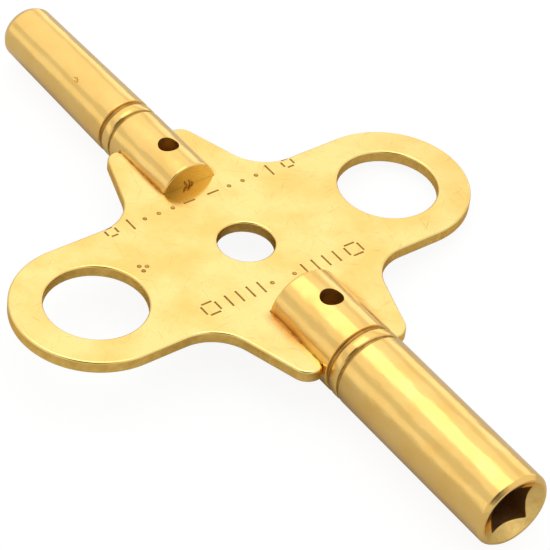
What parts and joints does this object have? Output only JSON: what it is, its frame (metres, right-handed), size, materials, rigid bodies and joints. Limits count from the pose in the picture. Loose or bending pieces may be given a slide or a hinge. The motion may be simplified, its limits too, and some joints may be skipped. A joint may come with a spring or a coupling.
{
  "type": "double-ended winding key",
  "caption": "Flat brass finger wings with a slotted, brazed square-socket barrel at each end, for turning square spindles by hand.",
  "frame": {"origin": "on the barrels' common axis, half way along the key and half way through the plate", "axes": "+X along the barrels towards the large socket, +Y across the wings, +Z out of the top of the plate"},
  "size_m": [0.0858, 0.0546, 0.0084],
  "materials": {
    "plate_brass": "rolled brass sheet, tumbled and polished, fine handling scratches, stamped tally marks",
    "barrel_brass": "turned brass bar, polished, faint turning lines",
    "braze_alloy": "braze seam, slightly duller and redder than the brass"
  },
  "bodies": {
    "root": {"wing_plate": "plate_brass", "large_barrel": "barrel_brass", "small_barrel": "barrel_brass", "large_barrel_braze": "braze_alloy", "small_barrel_braze": "braze_alloy"}
  },
  "joints": []
}
